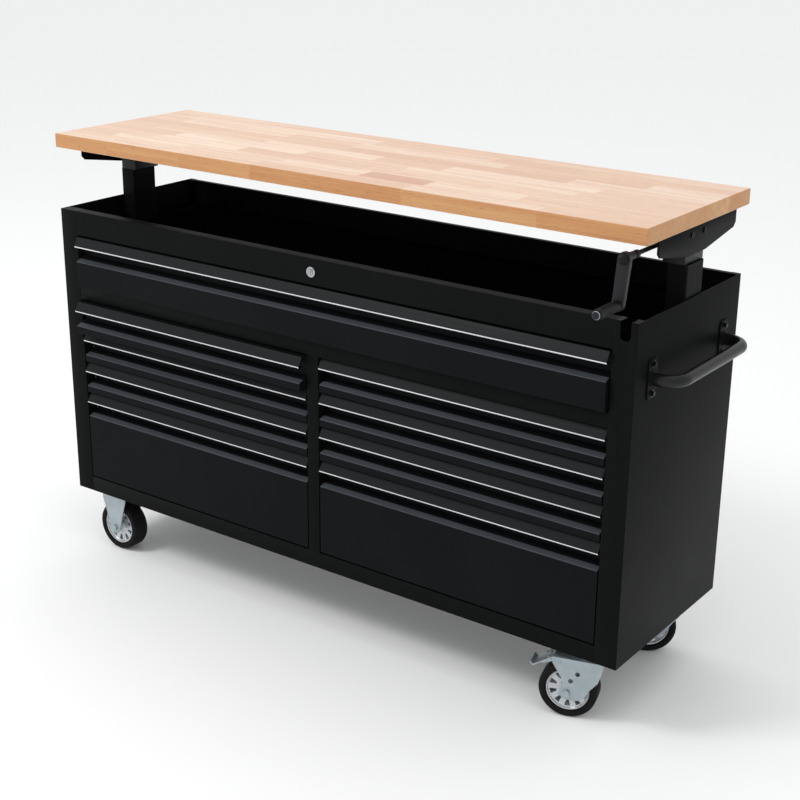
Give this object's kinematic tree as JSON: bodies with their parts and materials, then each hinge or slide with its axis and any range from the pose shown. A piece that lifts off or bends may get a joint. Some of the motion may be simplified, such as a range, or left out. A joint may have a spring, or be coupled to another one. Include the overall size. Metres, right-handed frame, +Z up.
{
  "type": "rolling tool chest",
  "caption": "Wide rolling tool chest: steel cabinet of drawers with finger pulls on casters, and a butcher-block worktop that a hand crank raises on two columns.",
  "frame": {"origin": "on the floor, under the middle of the whole object's bounding box at rest", "axes": "+X along the drawer fronts to the end with the handle and the crank, +Y from the fronts to the back, +Z up"},
  "size_m": [1.65, 0.5678, 1.0785],
  "materials": {
    "black_paint": "satin",
    "drawer_paint": "satin",
    "pull_metal": "satin",
    "butcher_block": "satin",
    "zinc": "satin",
    "cast_black": "satin",
    "rubber": "matte",
    "alloy": "satin",
    "chrome": "polished",
    "black_plastic": "matte"
  },
  "bodies": {
    "cabinet": {"left_side_panel": "black_paint", "right_side_panel": "black_paint", "back_panel": "black_paint", "base_panel": "black_paint", "lock_panel": "black_paint", "till_floor": "black_paint", "centre_divider": "black_paint", "slide_rack_left": "zinc", "slide_rack_right": "zinc", "lock_housing": "chrome", "side_handle": "black_paint", "column_outer_left": "cast_black", "column_outer_right": "cast_black", "rigid_fork_front": "zinc", "rigid_fork_rear": "zinc", "swivel_plate_front": "zinc", "swivel_plate_rear": "zinc"},
    "lift": {"worktop": "butcher_block", "column_inner_left": "black_paint", "column_inner_right": "black_paint", "gearbox_left": "cast_black", "gearbox_right": "cast_black", "arm_left": "black_paint", "arm_right": "black_paint"},
    "crank": {"crank": "cast_black"},
    "crank_grip": {"crank_grip": "black_plastic"},
    "cross_shaft": {"cross_shaft": "zinc"},
    "lead_screw_left": {"lead_screw_left": "zinc"},
    "lead_screw_right": {"lead_screw_right": "zinc"},
    "lock_plug": {"lock_plug": "chrome"},
    "wide_drawer": {"wide_drawer": "drawer_paint", "wide_drawer_pull": "pull_metal"},
    "left_drawer_1": {"left_drawer_1": "drawer_paint", "left_drawer_1_pull": "pull_metal"},
    "left_drawer_2": {"left_drawer_2": "drawer_paint", "left_drawer_2_pull": "pull_metal"},
    "left_drawer_3": {"left_drawer_3": "drawer_paint", "left_drawer_3_pull": "pull_metal"},
    "left_drawer_4": {"left_drawer_4": "drawer_paint", "left_drawer_4_pull": "pull_metal"},
    "right_drawer_1": {"right_drawer_1": "drawer_paint", "right_drawer_1_pull": "pull_metal"},
    "right_drawer_2": {"right_drawer_2": "drawer_paint", "right_drawer_2_pull": "pull_metal"},
    "right_drawer_3": {"right_drawer_3": "drawer_paint", "right_drawer_3_pull": "pull_metal"},
    "right_drawer_4": {"right_drawer_4": "drawer_paint", "right_drawer_4_pull": "pull_metal"},
    "swivel_front": {"swivel_fork_front": "zinc"},
    "pedal_front": {"brake_pedal_front": "zinc"},
    "swivel_rear": {"swivel_fork_rear": "zinc"},
    "pedal_rear": {"brake_pedal_rear": "zinc"},
    "wheel_rigid_front": {"rim_rigid_front": "alloy", "tyre_rigid_front": "rubber"},
    "wheel_rigid_rear": {"rim_rigid_rear": "alloy", "tyre_rigid_rear": "rubber"},
    "wheel_swivel_front": {"rim_swivel_front": "alloy", "tyre_swivel_front": "rubber"},
    "wheel_swivel_rear": {"rim_swivel_rear": "alloy", "tyre_swivel_rear": "rubber"}
  },
  "joints": [
    {"name": "wide_drawer_slide", "type": "slide", "parent": "cabinet", "child": "wide_drawer", "axis": [0, -1, 0], "range_m": [-0.011, 0.339]},
    {"name": "left_drawer_1_slide", "type": "slide", "parent": "cabinet", "child": "left_drawer_1", "axis": [0, -1, 0], "range_m": [-0.022, 0.328]},
    {"name": "left_drawer_2_slide", "type": "slide", "parent": "cabinet", "child": "left_drawer_2", "axis": [0, -1, 0], "range_m": [0, 0.35]},
    {"name": "left_drawer_3_slide", "type": "slide", "parent": "cabinet", "child": "left_drawer_3", "axis": [0, -1, 0], "range_m": [0, 0.35]},
    {"name": "left_drawer_4_slide", "type": "slide", "parent": "cabinet", "child": "left_drawer_4", "axis": [0, -1, 0], "range_m": [0, 0.35]},
    {"name": "right_drawer_1_slide", "type": "slide", "parent": "cabinet", "child": "right_drawer_1", "axis": [0, -1, 0], "range_m": [0, 0.35]},
    {"name": "right_drawer_2_slide", "type": "slide", "parent": "cabinet", "child": "right_drawer_2", "axis": [0, -1, 0], "range_m": [0, 0.35]},
    {"name": "right_drawer_3_slide", "type": "slide", "parent": "cabinet", "child": "right_drawer_3", "axis": [0, -1, 0], "range_m": [0, 0.35]},
    {"name": "right_drawer_4_slide", "type": "slide", "parent": "cabinet", "child": "right_drawer_4", "axis": [0, -1, 0], "range_m": [0, 0.35]},
    {"name": "lift", "type": "slide", "parent": "cabinet", "child": "lift", "axis": [0, 0, 1], "range_m": [-0.1475, 0.0505]},
    {"name": "crank_turn", "type": "hinge", "parent": "lift", "child": "crank", "pos_m": [0.73, -0.1761, 1.0224], "axis": [0, 1, 0], "range_deg": [-8820, 3000]},
    {"name": "grip_spin", "type": "hinge", "parent": "crank", "child": "crank_grip", "pos_m": [0.72207, -0.2411, 0.93175], "axis": [0, 1, 0], "continuous": true},
    {"name": "cross_shaft_turn", "type": "hinge", "parent": "lift", "child": "cross_shaft", "pos_m": [-0.0315, 0.0649, 1.0224], "axis": [1, 0, 0], "range_deg": [-8830, 3010]},
    {"name": "lead_screw_left_turn", "type": "hinge", "parent": "lift", "child": "lead_screw_left", "pos_m": [-0.7928, 0.0649, 0.76], "axis": [0, 0, 1], "range_deg": [-8830, 3010]},
    {"name": "lead_screw_right_turn", "type": "hinge", "parent": "lift", "child": "lead_screw_right", "pos_m": [0.7298, 0.0649, 0.76], "axis": [0, 0, 1], "range_deg": [-8830, 3010]},
    {"name": "lock_turn", "type": "hinge", "parent": "cabinet", "child": "lock_plug", "pos_m": [-0.0315, -0.1761, 0.866], "axis": [0, 1, 0], "range_deg": [0, 90]},
    {"name": "swivel_front_turn", "type": "hinge", "parent": "cabinet", "child": "swivel_front", "pos_m": [0.671, -0.1261, 0.16], "axis": [0, 0, 1], "continuous": true},
    {"name": "wheel_swivel_front_spin", "type": "hinge", "parent": "swivel_front", "child": "wheel_swivel_front", "pos_m": [0.63159, -0.1374, 0.0635], "axis": [-0.2756, 0.9613, 0], "continuous": true},
    {"name": "pedal_front_turn", "type": "hinge", "parent": "swivel_front", "child": "pedal_front", "pos_m": [0.61525, -0.14209, 0.134], "axis": [0.2756, -0.9613, 0], "range_deg": [0, 15]},
    {"name": "wheel_rigid_front_spin", "type": "hinge", "parent": "cabinet", "child": "wheel_rigid_front", "pos_m": [-0.713, -0.1261, 0.0635], "axis": [0, 1, 0], "continuous": true},
    {"name": "swivel_rear_turn", "type": "hinge", "parent": "cabinet", "child": "swivel_rear", "pos_m": [0.671, 0.2339, 0.16], "axis": [0, 0, 1], "continuous": true},
    {"name": "wheel_swivel_rear_spin", "type": "hinge", "parent": "swivel_rear", "child": "wheel_swivel_rear", "pos_m": [0.63549, 0.2134, 0.0635], "axis": [-0.5, 0.866, 0], "continuous": true},
    {"name": "pedal_rear_turn", "type": "hinge", "parent": "swivel_rear", "child": "pedal_rear", "pos_m": [0.62077, 0.2049, 0.134], "axis": [0.5, -0.866, 0], "range_deg": [0, 15]},
    {"name": "wheel_rigid_rear_spin", "type": "hinge", "parent": "cabinet", "child": "wheel_rigid_rear", "pos_m": [-0.713, 0.2339, 0.0635], "axis": [0, 1, 0], "continuous": true}
  ],
  "couplings": [
    {"joint": "lift", "follows": "crank_turn", "m_per_rad": 0.00095493},
    {"joint": "cross_shaft_turn", "follows": "crank_turn", "ratio": 1},
    {"joint": "lead_screw_left_turn", "follows": "crank_turn", "ratio": 1},
    {"joint": "lead_screw_right_turn", "follows": "crank_turn", "ratio": 1}
  ]
}
